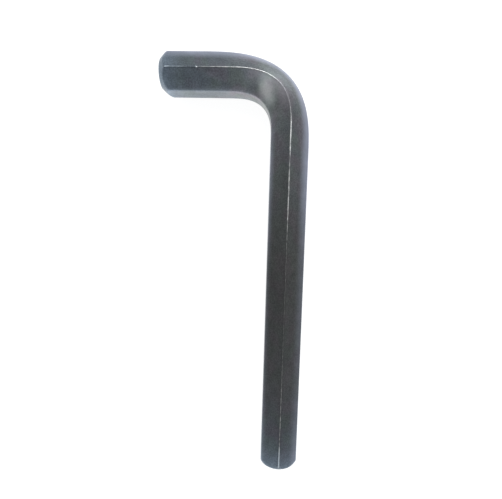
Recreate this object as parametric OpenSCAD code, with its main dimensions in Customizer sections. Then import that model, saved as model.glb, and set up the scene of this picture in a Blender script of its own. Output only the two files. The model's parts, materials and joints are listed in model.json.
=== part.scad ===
// Hex key: a hexagonal bar with turned tips, bent cold to an L.
// It lies flat, as it comes to rest. From the bend, the long arm runs along -Y and the short arm along -X.
// The lower ridges of both arms touch Z = 0, and the origin is under the middle of the key's box.

/* [Bar] */
// Width across the flats of the bar
across_flats = 10; // [8:0.5:12]
// Radius along the six edges of the bar
edge_r = 0.5; // [0.2:0.05:1]

/* [Arms] */
// Long arm, from its tip to the outside of the short arm
long_arm = 112; // [60:0.5:250]
// Short arm, from its tip to the outside of the long arm
short_arm = 39.5; // [36:0.5:80]

/* [Bend] */
// Where the inside flat starts to turn, measured from its sharp corner
inside_run = 11.3; // [9:0.1:13]
// Where the ridges on the top and the bottom start to turn, measured from their sharp corner
ridge_run = 15.7; // [14:0.1:18]
// Where the outside flat starts to turn, measured from its sharp corner
outside_run = 26.7; // [22:0.1:29]
// How the turn tightens towards its middle: 2 is an even arc, more is tighter
bend_power = 2.8; // [2:0.1:3.2]
// Share by which the turn is longer on the short arm's side, and shorter on the long arm's
bend_skew = 0.045; // [0:0.005:0.08]
// Share of its width that the inside flat loses at the middle of the bend
inside_pinch = 0.18; // [0:0.01:0.25]

/* [Long arm tip] */
// Depth of the bevel, from the bar's sharp corners in to the end face
long_bevel_depth = 0.85; // [0.4:0.05:2]
// Angle between the bevel and the bar's axis
long_bevel_angle = 32; // [20:1:50]
// Distance that the bevel is turned off the bar's axis, outward from the bend's middle
long_bevel_shift = -0.1; // [-0.3:0.05:0.3]

/* [Short arm tip] */
// Depth of the bevel, from the bar's sharp corners in to the end face
short_bevel_depth = 1.95; // [0.4:0.05:2.5]
// Angle between the bevel and the bar's axis
short_bevel_angle = 43; // [20:1:50]
// Distance that the bevel is turned off the bar's axis, outward from the bend's middle
short_bevel_shift = 0.25; // [-0.3:0.05:0.3]

/* [Tip rims] */
// Radius that rounds the rim between a bevel and its end face
rim_r = 0.3; // [0.1:0.05:0.6]

/* [Hidden] */

// Steps along each rounded edge, round the bend and along each rounded rim
edge_steps = 4;
bend_steps = 32;
rim_steps = 4;
// Straight stub at each end of the bend, so that every edge is straight where it meets an arm
bend_stub = 0.5;
// Room that the turned shape has outside the bar's corners
turning_room = 1;

half_flats = across_flats / 2;
corner_r = half_flats / cos(30);
// Height of the centre lines over the floor: a rounded corner stands on it
ridge_h = corner_r - edge_r * (1 / cos(30) - 1);

// The bar's section, as [distance outward from the bend's middle, height over the centre line].
// Flats face straight outward and inward, so one corner points up and one points down.
function edge_point(corner_angle, step) =
    let (turn = corner_angle - 30 + 60 * step / edge_steps)
    (corner_r - edge_r / cos(30)) * [cos(corner_angle), sin(corner_angle)]
    + edge_r * [cos(turn), sin(turn)];

section = [for (corner = [0:5], step = [0:edge_steps]) edge_point(30 + 60 * corner, step)];
side_count = len(section);

// The bend is drawn out on its outside and pressed together on its inside.
// So each line along the bar turns the corner on its own curve: tight inside, wide outside.
// This is the distance from that line's sharp corner to where it starts to turn.
function path_run(outward) =
    let (side = outward / half_flats)
    ridge_run
    + side * (outside_run - inside_run) / 2
    + side * side * ((outside_run + inside_run) / 2 - ridge_run);

// The curve of one quarter turn, for a run of 1
function turn_point(angle) =
    [cos(angle), sin(angle)]
    / pow(pow(abs(cos(angle)), bend_power) + pow(abs(sin(angle)), bend_power), 1 / bend_power);

// The tool presses the inside flat narrower, most at the middle of the bend
function pinch(outward, angle) =
    1 - inside_pinch * max(0, -outward / half_flats) * pow(sin(2 * angle), 2);

// Distance from where the centre lines cross to the start of each arm
bend_reach = max([for (p = section) path_run(p[0]) * (1 + bend_skew) - p[0]]) + bend_stub;

function bend_point(p, angle) =
    let (
        turn = turn_point(angle),
        short_run = path_run(p[0]) * (1 + bend_skew),
        long_run = path_run(p[0]) * (1 - bend_skew)
    )
    [
        p[0] - short_run * (1 - turn[0]),
        p[0] - long_run * (1 - turn[1]),
        p[1] * pinch(p[0], angle)
    ];

long_arm_ring = [for (p = section) [p[0], -bend_reach, p[1]]];
short_arm_ring = [for (p = section) [-bend_reach, p[0], p[1]]];
bend_rings = concat(
    [long_arm_ring],
    [for (step = [0:bend_steps]) [for (p = section) bend_point(p, 90 * step / bend_steps)]],
    [short_arm_ring]
);

// Triangles between two rings of the same number of points
function ring_faces(ring) = [
    for (i = [0:side_count - 1])
        let (
            j = (i + 1) % side_count,
            near = ring * side_count,
            far = near + side_count
        )
        each [[near + i, near + j, far + j], [near + i, far + j, far + i]]
];

module bend() {
    last = len(bend_rings) - 1;
    polyhedron(
        points = [for (ring = bend_rings) each ring],
        faces = concat(
            [[for (i = [side_count - 1:-1:0]) i]],
            [for (ring = [0:last - 1]) each ring_faces(ring)],
            [[for (i = [0:side_count - 1]) last * side_count + i]]
        )
    );
}

// Half outline of a turned tip: wide bar, bevel, rounded rim and flat end face at Z = length
function tip_outline(length, bevel_depth, bevel_angle) =
    let (
        face_r = corner_r - bevel_depth,
        wide_r = corner_r + turning_room,
        bevel_length = (wide_r - face_r) / tan(bevel_angle),
        rim_run = rim_r * tan((90 - bevel_angle) / 2),
        rim_turn = 90 - bevel_angle
    )
    concat(
        [[0, -turning_room], [wide_r, -turning_room], [wide_r, length - bevel_length]],
        [
            for (step = [0:rim_steps])
                let (turn = bevel_angle + rim_turn * step / rim_steps)
                [face_r - rim_run + rim_r * cos(turn), length - rim_r + rim_r * sin(turn)]
        ],
        [[0, length]]
    );

// A straight arm along +Z, from the end of the bend at Z = 0 to its turned tip. Its +X side faces outward.
module arm(overall, bevel_depth, bevel_angle, bevel_shift) {
    length = overall - half_flats - bend_reach;
    intersection() {
        linear_extrude(height = length)
            polygon(section);
        translate([bevel_shift, 0, 0])
            rotate_extrude($fn = 96)
                polygon(tip_outline(length, bevel_depth, bevel_angle));
    }
}

module hex_key() {
    color([0.17, 0.18, 0.19])
        translate([short_arm / 2 - half_flats, long_arm / 2 - half_flats, ridge_h])
            union() {
                bend();
                translate([0, -bend_reach, 0])
                    rotate([90, 0, 0])
                        arm(long_arm, long_bevel_depth, long_bevel_angle, long_bevel_shift);
                translate([-bend_reach, 0, 0])
                    rotate([-90, 0, 90])
                        arm(short_arm, short_bevel_depth, short_bevel_angle, short_bevel_shift);
            }
}

hex_key();
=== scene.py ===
"""Looks for the hex key: a finely lofted copy of the bent bar in black oxide, lit softly on white.

Lengths are in metres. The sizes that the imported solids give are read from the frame, and the rest are
named here in millimetres.
"""

import json
import math

import bpy
from mathutils import Euler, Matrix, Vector


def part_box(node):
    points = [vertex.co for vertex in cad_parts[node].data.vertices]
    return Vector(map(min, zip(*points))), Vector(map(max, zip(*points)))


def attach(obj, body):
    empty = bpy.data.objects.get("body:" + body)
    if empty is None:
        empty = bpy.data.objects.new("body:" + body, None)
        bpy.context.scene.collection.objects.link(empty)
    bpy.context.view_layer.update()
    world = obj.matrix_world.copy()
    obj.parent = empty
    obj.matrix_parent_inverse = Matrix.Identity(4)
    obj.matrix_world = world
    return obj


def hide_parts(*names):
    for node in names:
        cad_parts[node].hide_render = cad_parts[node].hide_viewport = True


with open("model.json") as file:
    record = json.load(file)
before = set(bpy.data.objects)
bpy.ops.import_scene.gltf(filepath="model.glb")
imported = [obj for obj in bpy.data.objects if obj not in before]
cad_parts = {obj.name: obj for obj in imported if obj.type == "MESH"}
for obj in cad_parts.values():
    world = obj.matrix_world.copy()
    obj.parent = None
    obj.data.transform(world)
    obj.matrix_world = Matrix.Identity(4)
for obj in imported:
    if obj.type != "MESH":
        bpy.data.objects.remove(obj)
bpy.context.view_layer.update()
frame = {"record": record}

MM = 0.001
NODE = "hex_key"

# Sizes that the frame gives
BOX_LOW, BOX_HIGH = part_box(NODE)
MOUNTS = {mount["name"]: mount for mount in frame["record"]["mounts"]}
HALF_FLATS = MOUNTS["long_arm_hex"]["dims"]["r_mm"] * MM
LONG_ARM = BOX_HIGH.y - BOX_LOW.y
SHORT_ARM = BOX_HIGH.x - BOX_LOW.x
RIDGE_HEIGHT = (BOX_HIGH.z - BOX_LOW.z) / 2
# The point where the two centre lines cross
CROSSING = Vector((BOX_HIGH.x - HALF_FLATS, BOX_HIGH.y - HALF_FLATS, RIDGE_HEIGHT))

# The bar's section: radius of its sharp corners, and radius along its six edges
CORNER_R = HALF_FLATS / math.cos(math.radians(30))
EDGE_R = 0.5 * MM
# Distances from the sharp corners of three lines along the bar to where they start to turn
INSIDE_RUN = 11.3 * MM
RIDGE_RUN = 15.7 * MM
OUTSIDE_RUN = 26.7 * MM
# How the turn tightens towards its middle (2 is an even arc), the share by which it is longer on the short
# arm's side, the share of its width that the inside flat loses, and the straight stub at each end
BEND_POWER = 2.8
BEND_SKEW = 0.045
INSIDE_PINCH = 0.18
BEND_STUB = 0.5 * MM

# The turned tips: bevel depth from the sharp corners, bevel angle from the axis, shift outward off the axis
LONG_BEVEL = (0.85 * MM, math.radians(32), -0.1 * MM)
SHORT_BEVEL = (1.95 * MM, math.radians(43), 0.25 * MM)
RIM_R = 0.3 * MM
# Room that the turned outline has outside the bar's corners
TURNING_ROOM = 0.5 * MM

# How far the flats' soft turn onto a bevel reaches, and the most that it takes of a bevel's length
BEVEL_SOFT = 0.45 * MM
SOFT_SHARE = 0.5

# The nick in the short arm's upper ridge: distance from the crossing, half length, half width and depth
NICK_REACH = 24.2 * MM
NICK_SIZE = Vector((0.24 * MM, 0.22 * MM))
NICK_DEPTH = 0.11 * MM

# How finely the visible mesh follows those forms
EDGE_STEPS = 8
FLAT_STEPS = 6
BEND_STEPS = 90
RING_SPACING = 1.0 * MM
NICK_SPACING = 0.12 * MM
TIP_ZONE = 3.6 * MM
TIP_STEPS = 4
SOFT_STEPS = 4
BEVEL_STEPS = 11
# How much closer the steps down a bevel get towards its rim: 1 is even
BEVEL_CROWDING = 1.6
RIM_STEPS = 5
FACE_RINGS = 5
# Radii closer than this count as the same
SAME_RADIUS = 1e-9

# Reflection of the oxide in each of its hues at a level of 1, of the bluer oxide at the tips, of the paler
# oxide of the painted sheen towards the side edges, and of bare steel, which is bluer at the tips too
TEAL_OXIDE = (0.262, 0.315, 0.320, 1)
BLUE_OXIDE = (0.262, 0.302, 0.350, 1)
VIOLET_OXIDE = (0.300, 0.298, 0.352, 1)
GREEN_OXIDE = (0.296, 0.304, 0.286, 1)
BROWN_OXIDE = (0.318, 0.298, 0.298, 1)
TEMPERED_OXIDE = (0.260, 0.325, 0.400, 1)
EDGE_SHEEN_OXIDE = (0.42, 0.45, 0.55, 1)
BARE_STEEL = (0.80, 0.79, 0.77, 1)
TEMPERED_STEEL = (0.72, 0.80, 0.86, 1)

# Sizes and stretches of the noises: two drifts of the hue, the clouds, the oxide's grain, the drawing lines,
# the gaps in the bare line and the ragged edge of the pressed patch
DRIFT_SIZE = 5.5 * MM
OTHER_DRIFT_SIZE = 4.4 * MM
OTHER_DRIFT_STRETCH = (1, -1, 0.8)
CLOUD_SIZE = 2.0 * MM
CLOUD_STRETCH = (1, 1, 0.7)
GRAIN_SIZE = 0.35 * MM
LINE_SIZE = 0.18 * MM
LINE_STRETCH = (1, 1, 0.015)
GAP_SIZE = 0.4 * MM
GAP_STRETCH = (1, 1, 0.4)
RAGGED_SIZE = 1.4 * MM
# How much detail smooth and rough noises have
DRIFT_DETAIL = 1.5
FINE_DETAIL = 2.0
ROUGH_DETAIL = 3.0
# Most of a noise lies in this range
NOISE_RANGE = (0.3, 0.7)

# Ranges of the drifts over which teal turns to blue, the cool hues to violet, and green to brown
BLUE_RANGE = (0.38, 0.62)
VIOLET_RANGE = (0.48, 0.68)
BROWN_RANGE = (0.40, 0.60)

# The least and the most that the clouds and the grain leave of the oxide's level
CLOUD_LEVELS = (0.91, 1.08)
GRAIN_LEVELS = (0.82, 1.18)

# Rough length of the unbent bar
BAR_LENGTH = 136.5 * MM

# The stops along the bar are (distance from the long arm's tip in millimetres, value).
# Level of the oxide, partly its own tone and partly painted light: reflections painted along the bar
LEVEL_STOPS = (
    (0, 0.84), (3, 0.64), (6, 0.48), (10, 0.42), (20, 0.40), (36, 0.375), (50, 0.36), (62, 0.385),
    (70, 0.41), (78, 0.48), (93, 0.525), (98, 0.61), (104, 0.74), (112, 0.66), (119, 0.56), (129, 0.53),
    (133, 0.67), (134.4, 0.80), (136, 0.80)
)
# Shares of the cool hues, and of the bluer oxide at the tips
COOL_STOPS = (
    (0, 1.0), (10, 0.8), (24, 0.3), (60, 0.1), (74, 0.35), (92, 0.5), (104, 0.4), (112, 0.6), (122, 0.9)
)
TEMPER_STOPS = ((0, 0.9), (3, 0.6), (8, 0.2), (14, 0.0), (122, 0.0), (130, 0.3), (134, 0.9))
# Painted shade towards the upper ridge: how much darker it is on its outer and on its inner side
OUTER_SHADE_STOPS = (
    (80, 0.05), (88, 0.08), (92, 0.15), (96.5, 0.36), (100, 0.48), (104, 0.15), (107, 0.0), (111, 0.3),
    (118, 0.1), (126, 0.0)
)
INNER_SHADE_STOPS = ((64, 0.0), (78, 0.2), (92, 0.25), (98, 0.0))
# Painted highlight: how much paler it is on the inner side of the ridge round the bend
HIGHLIGHT_STOPS = (
    (97, 0.0), (100, 0.35), (103, 0.88), (107.5, 1.0), (111, 0.42), (115, 0.07), (118, 0.0)
)
# Shares of the painted sheen along the outer and inner side edges, and of the bare line on the upper ridge
OUTER_SHEEN_STOPS = (
    (0, 0.68), (12, 0.40), (24, 0.20), (35, 0.25), (58, 0.34), (68, 0.56), (76, 0.82), (87, 0.93),
    (95, 0.82), (104, 0.82), (116, 0.85), (128, 0.95), (136, 0.65)
)
INNER_SHEEN_STOPS = (
    (0, 0.34), (14, 0.20), (55, 0.15), (70, 0.36), (86, 0.46), (96, 0.1), (104, 0.0), (112, 0.12),
    (130, 0.15), (134, 0.1)
)
BARE_STOPS = (
    (0, 1.9), (4, 1.1), (8, 0.30), (13, 0.45), (20, 0.28), (38, 0.13), (56, 0.13), (62, 0.20), (66, 0.30),
    (70, 1.0), (80, 1.0), (85, 0.08), (89, 1.3), (93, 0.7), (98, 0.1), (104, 0.0), (107, 0.65), (109, 0.8),
    (117, 0.6), (122, 0.36), (127, 0.0), (134, 0.5)
)
# How pale the turned bevels and end faces are, from 0 where a bevel starts to 1 at its rim: painted shade
# over the bevel, and a painted highlight at the rim and on the end face
TURNED_STOPS = ((0.0, 1.0), (0.08, 0.95), (0.2, 0.82), (0.6, 0.85), (1.0, 1.4))
# Where on a bevel the painted sheen, the bare line and the ridge's painted shade fade out
TURNED_FADE = (0.1, 0.35)

# Distances inward from the centre line: where the painted highlight round the bend starts and is full,
# and half the width over which the inner side of the ridge turns to the outer
HIGHLIGHT_REACH = (3.4 * MM, 0.3 * MM)
SIDE_BLEND = 0.05 * MM
# Where the shade towards the ridge starts, and where the inner flat does, as shares of half the flats' width
SHADE_START = 0.9
INNER_FLAT_START = 0.86
# How much paler the inner flat is painted: a painted reflection of the floor
INNER_FLAT_REFLECTION = 1.5

# How far the painted sheen reaches from the side edges, and how the clouds break it up
OUTER_SHEEN = 3.0 * MM
INNER_SHEEN = 1.6 * MM
SHEEN_RANGE = (0.2, 0.8)
SHEEN_LEVELS = (0.8, 1.15)

# Half width of the bare line on the upper ridge, the share that is bare all over, and how it is broken up
BARE_LINE = 0.16 * MM
BARE_CORE = 0.5
GAP_RANGE = (0.32, 0.68)
GAP_LEVELS = (0.35, 1.35)
# The line is wider at the long arm's tip: where it gets its usual width, and what the distance from the
# ridge is multiplied by at the tip
WIDE_LINE_END = 9 * MM
WIDE_LINE = 0.65
# Where the bare steel turns bluer towards the long arm's tip and the short arm's
LONG_TIP_STEEL = (10 * MM, 3 * MM)
SHORT_TIP_STEEL = (124 * MM, 132 * MM)
# Depth of the nick, as a share, at which it starts to be bare and is all bare
NICK_BARE = (0.5, 0.9)

# Painted shade on the ridge where it isn't bare: how much, where it starts and is full, as shares of the
# edge radius, and how much of it is left where the painted highlight round the bend is strongest
RIDGE_SHADE = 0.25
RIDGE_SHADE_REACH = (0.7, 0.3)
RIDGE_SHADE_IN_HIGHLIGHT = 0.3
FULL_HIGHLIGHT = 0.9

# The painted highlight on top of the bend: its middle from the crossing, the direction of its length, and
# its half length, half width and half height
PATCH_MIDDLE = Vector((-6.4, -5.4, 4.2)) * MM
PATCH_ALONG = Vector((0.38, -0.92, 0)).normalized()
PATCH_SIZE = (4.0 * MM, 2.3 * MM, 4.5 * MM)
# Where it fades in, as shares of those sizes, how ragged its edge is, how much paler it is painted, and its
# share of green
PATCH_FADE = (1.2, 0.1)
PATCH_RAGGED = 0.06
PATCH_HIGHLIGHT = 1.65
PATCH_GREEN = 0.6

# Roughness between and on the drawing lines, what the clouds add to it, and the roughness of bare steel
ROUGHNESS = (0.34, 0.38)
CLOUD_ROUGHNESS = 0.02
BARE_ROUGHNESS = 0.32
# Depths of the drawing lines and of the grain
LINE_DEPTH = 0.004 * MM
GRAIN_DEPTH = 0.008 * MM

# The photograph's camera, fitted to the outline: sensor and lens in millimetres, place from the crossing,
# and turn in degrees
SENSOR_WIDTH = 36.0
LENS = 25.741
CAMERA_PLACE = Vector((-5.616, -37.198, 99.020)) * MM
CAMERA_TURN = (-5.234, 2.218, 1.787)
CAMERA_CLIP = (0.01, 20.0)

# The floor: half its width, the grey of its paint, and the glow that is seen on top of that
FLOOR_HALF = 3.0
FLOOR_PAINT = (0.3, 0.3, 0.3, 1)
FLOOR_GLOW = 0.9

# Tint and level of the surroundings
SKY_TINT = (0.97, 1.0, 1.03, 1)
SKY_LEVEL = 0.33
# Soft windows in them: azimuth from +X and elevation in degrees, edge angle, strength
WINDOWS = (
    (60, 45, 30, 3.6), (60, 25, 45, 1.1), (135, 45, 30, 1.35), (240, 8, 30, 0.85), (285, 45, 30, 0.34),
    (300, 8, 30, 0.45), (190, 0, 28, 0.4), (352, 26, 40, 0.17)
)


def section_points():
    """The bar's outline as (outward, height, distance round it to each of the six edges)."""
    reach = CORNER_R - EDGE_R / math.cos(math.radians(30))
    flat = 2 * reach * math.sin(math.radians(30))
    arc = EDGE_R * math.radians(60)
    girth = 6 * (flat + arc)
    places = []
    for corner in range(6):
        middle = math.radians(30 + 60 * corner)
        centre = Vector((reach * math.cos(middle), reach * math.sin(middle)))
        for step in range(EDGE_STEPS + 1):
            share = step / EDGE_STEPS - 0.5
            turn = middle + math.radians(60) * share
            place = centre + EDGE_R * Vector((math.cos(turn), math.sin(turn)))
            places.append((place, corner * (flat + arc) + arc * share))
        start = places[-1][0]
        facing = middle + math.radians(30)
        along = Vector((-math.sin(facing), math.cos(facing)))
        for step in range(1, FLAT_STEPS):
            # Steps are closer together next to the edges
            run = flat * (1 - math.cos(math.pi * step / FLAT_STEPS)) / 2
            places.append((start + along * run, corner * (flat + arc) + arc / 2 + run))
    points = []
    for place, round_it in places:
        gaps = [abs(round_it - corner * girth / 6) for corner in range(6)]
        gaps = [min(gap, girth - gap) for gap in gaps]
        points.append((place.x, place.y, gaps))
    return points


def path_run(outward):
    """Distance from a line's sharp corner to where it starts to turn."""
    side = outward / HALF_FLATS
    return (
        RIDGE_RUN
        + side * (OUTSIDE_RUN - INSIDE_RUN) / 2
        + side * side * ((OUTSIDE_RUN + INSIDE_RUN) / 2 - RIDGE_RUN)
    )


def turn_point(angle):
    """A point on the curve of one quarter turn, for a run of 1: tighter in its middle than an arc."""
    cos, sin = abs(math.cos(angle)), abs(math.sin(angle))
    size = (cos ** BEND_POWER + sin ** BEND_POWER) ** (1 / BEND_POWER)
    return cos / size, sin / size


def pinch(outward, angle):
    """Share of its height that the pressing leaves on the inside of the bend."""
    return 1 - INSIDE_PINCH * max(0.0, -outward / HALF_FLATS) * math.sin(2 * angle) ** 2


SECTION = section_points()
BEND_REACH = max(path_run(p[0]) * (1 + BEND_SKEW) - p[0] for p in SECTION) + BEND_STUB
LONG_REACH = LONG_ARM - HALF_FLATS
SHORT_REACH = SHORT_ARM - HALF_FLATS


def on_long_arm(outward, height, reach):
    return Vector((outward, -reach, height))


def on_short_arm(outward, height, reach):
    return Vector((-reach, outward, height))


def on_bend(outward, height, angle):
    across, along = turn_point(angle)
    run = path_run(outward)
    return Vector((
        outward - run * (1 + BEND_SKEW) * (1 - across),
        outward - run * (1 - BEND_SKEW) * (1 - along),
        height * pinch(outward, angle),
    ))


def tip_profile(bevel):
    """The turned tip as (radius, distance back from the end face), from its wide side to the face's edge."""
    depth, angle = bevel[:2]
    face_r = CORNER_R - depth
    run = RIM_R * math.tan((math.pi / 2 - angle) / 2)
    wide = CORNER_R + TURNING_ROOM
    profile = [(wide, (wide - face_r) / math.tan(angle))]
    for step in range(RIM_STEPS + 1):
        turn = angle + (math.pi / 2 - angle) * step / RIM_STEPS
        profile.append((face_r - run + RIM_R * math.cos(turn), RIM_R - RIM_R * math.sin(turn)))
    return profile


def profile_from(profile, radius):
    """A tip's profile from a bar line at a radius: a soft turn onto the bevel, then the bevel and the rim."""
    kept = [p for p in profile if p[0] < radius - SAME_RADIUS]
    i = len(profile) - len(kept)
    (r0, d0), (r1, d1) = profile[i - 1], profile[i]
    share = (r0 - radius) / (r0 - r1)
    corner = (radius, d0 + (d1 - d0) * share)
    line = [corner] + kept
    lengths = [0.0]
    for a, b in zip(line, line[1:]):
        lengths.append(lengths[-1] + math.hypot(b[0] - a[0], b[1] - a[1]))
    total = lengths[-1]

    def at(want):
        k = max(0, min(len(line) - 2, sum(1 for x in lengths[1:] if x <= want)))
        span = lengths[k + 1] - lengths[k]
        t = (want - lengths[k]) / span if span > 0 else 0.0
        return tuple(a + (b - a) * t for a, b in zip(line[k], line[k + 1]))

    soft = min(BEVEL_SOFT, SOFT_SHARE * total)
    before, after = (radius, corner[1] + soft), at(soft)
    out = []
    for step in range(SOFT_STEPS):
        t = step / SOFT_STEPS
        out.append(tuple(
            a * (1 - t) ** 2 + 2 * b * t * (1 - t) + c * t ** 2 for a, b, c in zip(before, corner, after)
        ))
    for step in range(BEVEL_STEPS + 1):
        out.append(at(total - (total - soft) * (1 - step / BEVEL_STEPS) ** BEVEL_CROWDING))
    return out


def arm_stations(reach, spots=()):
    """Distances from the crossing to the rings along an arm, closer together round each spot."""
    span = reach - TIP_ZONE - BEND_REACH
    count = max(2, round(span / RING_SPACING))
    stations = [BEND_REACH + span * step / count for step in range(count + 1)]
    for spot in spots:
        stations = [x for x in stations if abs(x - spot) > RING_SPACING + NICK_SPACING / 2]
        steps = round(RING_SPACING / NICK_SPACING)
        stations += [spot + RING_SPACING * step / steps for step in range(-steps, steps + 1)]
    return sorted(stations)


def nick(outward, height, reach):
    """1 at the middle of the nick, falling to 0 round it."""
    if height <= 0:
        return 0.0
    away = Vector(((reach - NICK_REACH) / NICK_SIZE.x, outward / NICK_SIZE.y))
    return math.exp(-away.length_squared)


def tip_rings(place, reach, bevel, along_of):
    """Rings from the tip's zone over the bevel and the rim and across the end face."""
    profile = tip_profile(bevel)
    shift = bevel[2]
    zone = reach - TIP_ZONE
    lines = []
    for outward, height, gaps in SECTION:
        radius = math.hypot(outward - shift, height)
        turned = profile_from(profile, radius)
        start = reach - turned[0][1]
        line = [(1.0, zone + (start - zone) * step / TIP_STEPS) for step in range(1, TIP_STEPS)]
        line += [(r / radius, reach - back) for r, back in turned]
        last = line[-1][0]
        line += [(last * (1 - step / FACE_RINGS), reach) for step in range(1, FACE_RINGS)]
        lines.append(line)
    rings = []
    for k in range(len(lines[0])):
        # 0 on the flats, rising over the bevel to 1 at its rim
        turned_at = min(max((k - TIP_STEPS + 1) / (SOFT_STEPS + BEVEL_STEPS), 0.0), 1.0)
        ring = []
        for (outward, height, gaps), line in zip(SECTION, lines):
            scale, distance = line[k]
            o, h = shift + (outward - shift) * scale, height * scale
            ring.append((place(o, h, distance), (o, h, along_of(distance)), gaps, turned_at))
        rings.append(ring)
    return rings


def bar_rings():
    """All rings from the long arm's tip to the short arm's.

    Each point is its place from the crossing, its place on the unbent bar as (outward, height, distance
    along), its distances to the six edges, and how far over a bevel it is.
    """
    angles = [math.pi / 2 * step / BEND_STEPS for step in range(BEND_STEPS + 1)]
    # The bar's length is measured along its centre line
    alongs = [LONG_REACH + on_bend(0, 0, 0).y]
    for before, after in zip(angles, angles[1:]):
        alongs.append(alongs[-1] + (on_bend(0, 0, after) - on_bend(0, 0, before)).length)
    short_start = alongs[-1] + on_bend(0, 0, math.pi / 2).x

    def long_along(distance):
        return LONG_REACH - distance

    def short_along(distance):
        return short_start + distance

    rings = tip_rings(on_long_arm, LONG_REACH, LONG_BEVEL, long_along)
    rings.reverse()
    for distance in reversed(arm_stations(LONG_REACH)):
        rings.append([
            (on_long_arm(o, h, distance), (o, h, long_along(distance)), gaps, 0.0)
            for o, h, gaps in SECTION
        ])
    for angle, along in zip(angles, alongs):
        rings.append([(on_bend(o, h, angle), (o, h, along), gaps, 0.0) for o, h, gaps in SECTION])
    for distance in arm_stations(SHORT_REACH, [NICK_REACH]):
        ring = []
        for o, h, gaps in SECTION:
            place = on_short_arm(o, h - NICK_DEPTH * nick(o, h, distance), distance)
            ring.append((place, (o, h, short_along(distance)), gaps, 0.0))
        rings.append(ring)
    rings += tip_rings(on_short_arm, SHORT_REACH, SHORT_BEVEL, short_along)
    return rings


def add_attribute(mesh, name, values):
    attribute = mesh.attributes.new(name, "FLOAT", "POINT")
    attribute.data.foreach_set("value", values)


def build_key():
    """The visible key as one closed mesh, with the attributes that its material reads."""
    rings = bar_rings()
    count = len(SECTION)
    points = []
    bar = []
    edges = []
    turned = []
    for ring in rings:
        for place, unbent, gaps, turned_at in ring:
            points.append(CROSSING + place)
            bar.append(unbent)
            edges.append(gaps)
            turned.append(turned_at)
    ends = []
    for distance, place, along, shift in (
        (LONG_REACH, on_long_arm, 0.0, LONG_BEVEL[2]),
        (SHORT_REACH, on_short_arm, bar[-1][2], SHORT_BEVEL[2]),
    ):
        ends.append(len(points))
        points.append(CROSSING + place(shift, 0, distance))
        bar.append((shift, 0, along))
        edges.append([HALF_FLATS] * 6)
        turned.append(1.0)
    faces = []
    for ring in range(len(rings) - 1):
        for i in range(count):
            j = (i + 1) % count
            near = ring * count
            faces.append((near + i, near + j, near + count + j, near + count + i))
    last = (len(rings) - 1) * count
    for i in range(count):
        j = (i + 1) % count
        faces.append((ends[0], j, i))
        faces.append((ends[1], last + i, last + j))
    mesh = bpy.data.meshes.new("hex_key_steel")
    mesh.from_pydata(points, [], faces)
    mesh.validate()
    mesh.update()
    mesh.polygons.foreach_set("use_smooth", [True] * len(mesh.polygons))
    unbent = mesh.attributes.new("bar", "FLOAT_VECTOR", "POINT")
    unbent.data.foreach_set("vector", [x for p in bar for x in p])
    # The edges are numbered round the section: 1 is the upper ridge, 0 and 5 face outward, 2 and 3 inward
    add_attribute(mesh, "upper_ridge", [gaps[1] for gaps in edges])
    add_attribute(mesh, "outer_edges", [min(gaps[0], gaps[5]) for gaps in edges])
    add_attribute(mesh, "inner_edges", [min(gaps[2], gaps[3]) for gaps in edges])
    add_attribute(mesh, "turned", turned)
    short_start = bar[-1][2] - SHORT_REACH
    add_attribute(mesh, "nick", [nick(o, h, along - short_start) for o, h, along in bar])
    key = bpy.data.objects.new("hex_key_steel", mesh)
    bpy.context.scene.collection.objects.link(key)
    return key


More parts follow.
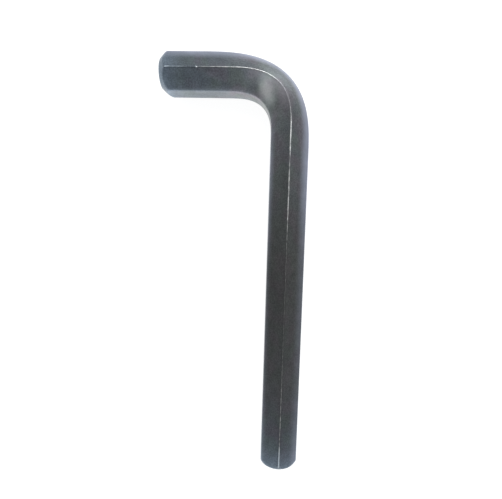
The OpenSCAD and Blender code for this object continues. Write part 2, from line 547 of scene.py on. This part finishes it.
class Nodes:
    """Short names for the shader nodes in use. An input is a plain value or another node's output."""

    def __init__(self, tree):
        self.tree = tree

    def put(self, socket, value):
        if isinstance(value, bpy.types.NodeSocket):
            self.tree.links.new(value, socket)
        else:
            socket.default_value = value

    def attribute(self, name, output="Fac"):
        node = self.tree.nodes.new("ShaderNodeAttribute")
        node.attribute_name = name
        return node.outputs[output]

    def math(self, operation, a, b=0.0, clamp=False):
        node = self.tree.nodes.new("ShaderNodeMath")
        node.operation = operation
        node.use_clamp = clamp
        self.put(node.inputs[0], a)
        self.put(node.inputs[1], b)
        return node.outputs[0]

    def times(self, product, *factors):
        for factor in factors:
            product = self.math("MULTIPLY", product, factor)
        return product

    def smooth(self, value, start, end, low=0.0, high=1.0):
        """Runs smoothly from low, where the value is start, to high, where it is end."""
        node = self.tree.nodes.new("ShaderNodeMapRange")
        node.interpolation_type = "SMOOTHSTEP"
        self.put(node.inputs["Value"], value)
        node.inputs["From Min"].default_value = start
        node.inputs["From Max"].default_value = end
        node.inputs["To Min"].default_value = low
        node.inputs["To Max"].default_value = high
        return node.outputs["Result"]

    def vector(self, operation, a, b, output="Vector"):
        node = self.tree.nodes.new("ShaderNodeVectorMath")
        node.operation = operation
        self.put(node.inputs[0], a)
        self.put(node.inputs[1], b)
        return node.outputs[output]

    def facing(self, vector, direction, edge):
        """1 where a unit vector points in a direction, falling to 0 at an edge angle from it, in degrees."""
        facing = self.vector("DOT_PRODUCT", vector, Vector(direction).normalized(), "Value")
        return self.smooth(facing, math.cos(math.radians(edge)), 1.0)

    def stretched(self, vector, scale):
        return self.vector("MULTIPLY", vector, scale)

    def scaled(self, colour, factor):
        node = self.tree.nodes.new("ShaderNodeVectorMath")
        node.operation = "SCALE"
        self.put(node.inputs[0], colour)
        self.put(node.inputs["Scale"], factor)
        return node.outputs[0]

    def noise(self, vector, size, detail):
        """Noise from 0 to 1 with a size in metres."""
        node = self.tree.nodes.new("ShaderNodeTexNoise")
        self.put(node.inputs["Vector"], vector)
        node.inputs["Scale"].default_value = 1 / size
        node.inputs["Detail"].default_value = detail
        return node.outputs["Fac"]

    def ramp(self, share, stops):
        """A ramp through (share, height) stops."""
        node = self.tree.nodes.new("ShaderNodeValToRGB")
        self.put(node.inputs["Fac"], share)
        elements = node.color_ramp.elements
        while len(elements) < len(stops):
            elements.new(0.5)
        for element, (place, height) in zip(elements, stops):
            element.position = place
            element.color = (height, height, height, 1)
        return node.outputs["Color"]

    def mix(self, share, a, b):
        """Colour a where the share is 0, and colour b where it is 1."""
        node = self.tree.nodes.new("ShaderNodeMix")
        node.data_type = "RGBA"
        self.put(node.inputs[0], share)
        self.put(node.inputs[6], a)
        self.put(node.inputs[7], b)
        return node.outputs[2]

    def blend(self, share, a, b):
        """Number a where the share is 0, and number b where it is 1."""
        node = self.tree.nodes.new("ShaderNodeMix")
        self.put(node.inputs[0], share)
        self.put(node.inputs[2], a)
        self.put(node.inputs[3], b)
        return node.outputs[0]

    def bump(self, height, depth, normal=None):
        node = self.tree.nodes.new("ShaderNodeBump")
        node.inputs["Distance"].default_value = depth
        self.put(node.inputs["Height"], height)
        if normal is not None:
            self.put(node.inputs["Normal"], normal)
        return node.outputs["Normal"]


def highlight_patch(make):
    """The painted highlight on top of the bend: 1 in its middle, 0 outside it."""
    where = make.tree.nodes.new("ShaderNodeTexCoord").outputs["Object"]
    place = make.vector("SUBTRACT", where, CROSSING + PATCH_MIDDLE)
    up = Vector((0, 0, 1))
    squares = []
    for direction, size in zip((PATCH_ALONG, up.cross(PATCH_ALONG), up), PATCH_SIZE):
        part = make.vector("DOT_PRODUCT", place, direction / size, "Value")
        squares.append(make.times(part, part))
    total = make.math("ADD", make.math("ADD", squares[0], squares[1]), squares[2])
    distance = make.math("SQRT", total)
    noise = make.noise(where, RAGGED_SIZE, ROUGH_DETAIL)
    ragged = make.smooth(noise, *NOISE_RANGE, -PATCH_RAGGED, PATCH_RAGGED)
    return make.smooth(make.math("ADD", distance, ragged), *PATCH_FADE)


def steel_material():
    """Black oxide as a dark satin metal: mottled, with painted light and shade, and bare along the ridge."""
    material = bpy.data.materials.new("blackened_steel")
    material.use_nodes = True
    tree = material.node_tree
    shader = tree.nodes["Principled BSDF"]
    make = Nodes(tree)
    bar = make.attribute("bar", "Vector")
    split = tree.nodes.new("ShaderNodeSeparateXYZ")
    make.put(split.inputs[0], bar)
    outward = split.outputs["X"]
    inward = make.times(outward, -1.0)
    along = split.outputs["Z"]
    share_along = make.math("DIVIDE", along, BAR_LENGTH)
    turned = make.attribute("turned")
    upper_ridge = make.attribute("upper_ridge")

    def along_bar(stops):
        """The value that stops along the bar give at each point."""
        return make.ramp(share_along, [(place * MM / BAR_LENGTH, height) for place, height in stops])

    # The hue drifts over a few millimetres, and is cooler at the tips and the bend than between them
    drift = make.noise(bar, DRIFT_SIZE, DRIFT_DETAIL)
    other = make.noise(make.stretched(bar, OTHER_DRIFT_STRETCH), OTHER_DRIFT_SIZE, DRIFT_DETAIL)
    cool = make.mix(make.smooth(drift, *BLUE_RANGE), TEAL_OXIDE, BLUE_OXIDE)
    cool = make.mix(make.smooth(other, *VIOLET_RANGE), cool, VIOLET_OXIDE)
    warm = make.mix(make.smooth(other, *BROWN_RANGE), GREEN_OXIDE, BROWN_OXIDE)
    oxide = make.mix(along_bar(COOL_STOPS), warm, cool)
    oxide = make.mix(along_bar(TEMPER_STOPS), oxide, TEMPERED_OXIDE)

    # It is paler at the tips and round the bend, partly painted light, with clouds and a fine grain in it
    cloud = make.noise(make.stretched(bar, CLOUD_STRETCH), CLOUD_SIZE, ROUGH_DETAIL)
    grain = make.noise(bar, GRAIN_SIZE, FINE_DETAIL)
    lines = make.noise(make.stretched(bar, LINE_STRETCH), LINE_SIZE, FINE_DETAIL)
    level = make.times(
        along_bar(LEVEL_STOPS),
        make.smooth(cloud, *NOISE_RANGE, *CLOUD_LEVELS),
        make.smooth(grain, *NOISE_RANGE, *GRAIN_LEVELS),
        make.ramp(turned, TURNED_STOPS),
    )

    # Painted shade next to the ridge, and round the bend a painted highlight on the inner side
    outer_side = make.smooth(outward, -SIDE_BLEND, SIDE_BLEND)
    near = make.smooth(make.math("ABSOLUTE", outward), SHADE_START * HALF_FLATS, 0.0)
    shade = make.blend(outer_side, along_bar(INNER_SHADE_STOPS), along_bar(OUTER_SHADE_STOPS))
    level = make.times(level, make.math("SUBTRACT", 1.0, make.times(shade, near)))
    bend_highlight = along_bar(HIGHLIGHT_STOPS)
    inner_side = make.math("SUBTRACT", 1.0, outer_side)
    level = make.math("ADD", level, make.times(bend_highlight, inner_side, make.smooth(inward, *HIGHLIGHT_REACH)))
    # The inner flat gets a painted reflection of the floor
    inner_flat_reflection = make.smooth(inward, INNER_FLAT_START * HALF_FLATS, HALF_FLATS, 1.0, INNER_FLAT_REFLECTION)
    level = make.times(level, inner_flat_reflection)
    # A painted highlight on top of the bend, a little greener
    patch_highlight = highlight_patch(make)
    level = make.math("ADD", level, make.times(patch_highlight, PATCH_HIGHLIGHT))
    oxide = make.mix(make.times(patch_highlight, PATCH_GREEN), oxide, GREEN_OXIDE)
    oxide = make.scaled(oxide, level)

    # Painted sheen towards the side edges
    on_bar = make.smooth(turned, *TURNED_FADE, 1.0, 0.0)
    outer = make.times(make.smooth(make.attribute("outer_edges"), OUTER_SHEEN, 0.0), along_bar(OUTER_SHEEN_STOPS))
    inner = make.times(make.smooth(make.attribute("inner_edges"), INNER_SHEEN, 0.0), along_bar(INNER_SHEEN_STOPS))
    edge_sheen = make.math("MAXIMUM", outer, inner)
    edge_sheen = make.times(edge_sheen, on_bar, make.smooth(cloud, *SHEEN_RANGE, *SHEEN_LEVELS))
    oxide = make.mix(edge_sheen, oxide, EDGE_SHEEN_OXIDE)

    # Painted shade on the ridge itself where it isn't bare
    ridge = make.smooth(
        upper_ridge, RIDGE_SHADE_REACH[0] * EDGE_R, RIDGE_SHADE_REACH[1] * EDGE_R, 0.0, RIDGE_SHADE
    )
    ridge = make.times(ridge, make.smooth(bend_highlight, 0.0, FULL_HIGHLIGHT, 1.0, RIDGE_SHADE_IN_HIGHLIGHT), on_bar)
    oxide = make.scaled(oxide, make.math("SUBTRACT", 1.0, ridge))

    # Bare steel along the upper ridge, broken up by gaps, and in the nick
    gaps = make.noise(make.stretched(bar, GAP_STRETCH), GAP_SIZE, ROUGH_DETAIL)
    worn = make.math(
        "MULTIPLY", along_bar(BARE_STOPS), make.smooth(gaps, *GAP_RANGE, *GAP_LEVELS), clamp=True
    )
    from_ridge = make.times(upper_ridge, make.smooth(along, 0.0, WIDE_LINE_END, WIDE_LINE, 1.0))
    bare = make.times(worn, on_bar, make.smooth(from_ridge, BARE_LINE, BARE_CORE * BARE_LINE))
    bare = make.math("MAXIMUM", bare, make.smooth(make.attribute("nick"), *NICK_BARE))
    at_tips = make.math(
        "MAXIMUM", make.smooth(along, *LONG_TIP_STEEL), make.smooth(along, *SHORT_TIP_STEEL)
    )
    steel = make.mix(at_tips, BARE_STEEL, TEMPERED_STEEL)
    make.put(shader.inputs["Base Color"], make.mix(bare, oxide, steel))
    shader.inputs["Metallic"].default_value = 1.0

    rough = make.smooth(lines, *NOISE_RANGE, *ROUGHNESS)
    clouded = make.smooth(cloud, *NOISE_RANGE, CLOUD_ROUGHNESS, -CLOUD_ROUGHNESS)
    rough = make.math("ADD", rough, clouded)
    make.put(shader.inputs["Roughness"], make.blend(bare, rough, BARE_ROUGHNESS))

    # Fine relief: drawing lines along the bar, and the grain of the oxide
    relief = make.bump(grain, GRAIN_DEPTH, make.bump(lines, LINE_DEPTH))
    make.put(shader.inputs["Normal"], relief)
    return material


def make_camera():
    """The photograph's camera: a wide lens about 100 mm above the key."""
    data = bpy.data.cameras.new("camera")
    data.sensor_width = SENSOR_WIDTH
    data.lens = LENS
    data.clip_start, data.clip_end = CAMERA_CLIP
    camera = bpy.data.objects.new("camera", data)
    camera.location = CROSSING + CAMERA_PLACE
    camera.rotation_mode = "ZYX"
    camera.rotation_euler = Euler([math.radians(turn) for turn in CAMERA_TURN], "ZYX")
    bpy.context.scene.collection.objects.link(camera)
    bpy.context.scene.camera = camera


def make_floor():
    """A white floor: paint that takes the key's shadow, and a glow on top of it.

    Only camera, glossy and transmission rays see the glow.
    """
    mesh = bpy.data.meshes.new("floor")
    corners = [(x * FLOOR_HALF, y * FLOOR_HALF, 0) for x, y in ((-1, -1), (1, -1), (1, 1), (-1, 1))]
    mesh.from_pydata(corners, [], [(0, 1, 2, 3)])
    floor = bpy.data.objects.new("floor", mesh)
    bpy.context.scene.collection.objects.link(floor)
    material = bpy.data.materials.new("white_floor")
    material.use_nodes = True
    tree = material.node_tree
    tree.nodes.clear()
    make = Nodes(tree)
    paint = tree.nodes.new("ShaderNodeBsdfDiffuse")
    paint.inputs["Color"].default_value = FLOOR_PAINT
    rays = tree.nodes.new("ShaderNodeLightPath").outputs
    seen = make.math("MAXIMUM", rays["Is Camera Ray"], rays["Is Glossy Ray"])
    seen = make.math("MAXIMUM", seen, rays["Is Transmission Ray"])
    glow = tree.nodes.new("ShaderNodeEmission")
    make.put(glow.inputs["Strength"], make.times(seen, FLOOR_GLOW))
    add = tree.nodes.new("ShaderNodeAddShader")
    make.put(add.inputs[0], paint.outputs[0])
    make.put(add.inputs[1], glow.outputs[0])
    output = tree.nodes.new("ShaderNodeOutputMaterial")
    make.put(output.inputs["Surface"], add.outputs[0])
    mesh.materials.append(material)


def make_world():
    """Soft white surroundings with a few broad windows of light in them."""
    world = bpy.data.worlds.new("studio")
    bpy.context.scene.world = world
    world.use_nodes = True
    tree = world.node_tree
    background = tree.nodes["Background"]
    make = Nodes(tree)
    towards_sky = tree.nodes.new("ShaderNodeTexCoord").outputs["Generated"]
    sky = SKY_LEVEL
    for azimuth, elevation, edge, strength in WINDOWS:
        turn, rise = math.radians(azimuth), math.radians(elevation)
        middle = (math.cos(rise) * math.cos(turn), math.cos(rise) * math.sin(turn), math.sin(rise))
        window = make.facing(towards_sky, middle, edge)
        sky = make.math("ADD", sky, make.times(window, strength))
    make.put(background.inputs["Strength"], sky)
    background.inputs["Color"].default_value = SKY_TINT


make_camera()
key = build_key()
key.data.materials.append(steel_material())
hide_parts(NODE)
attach(key, "root")
make_floor()
make_world()

scene = bpy.context.scene
scene.view_settings.view_transform = "Standard"
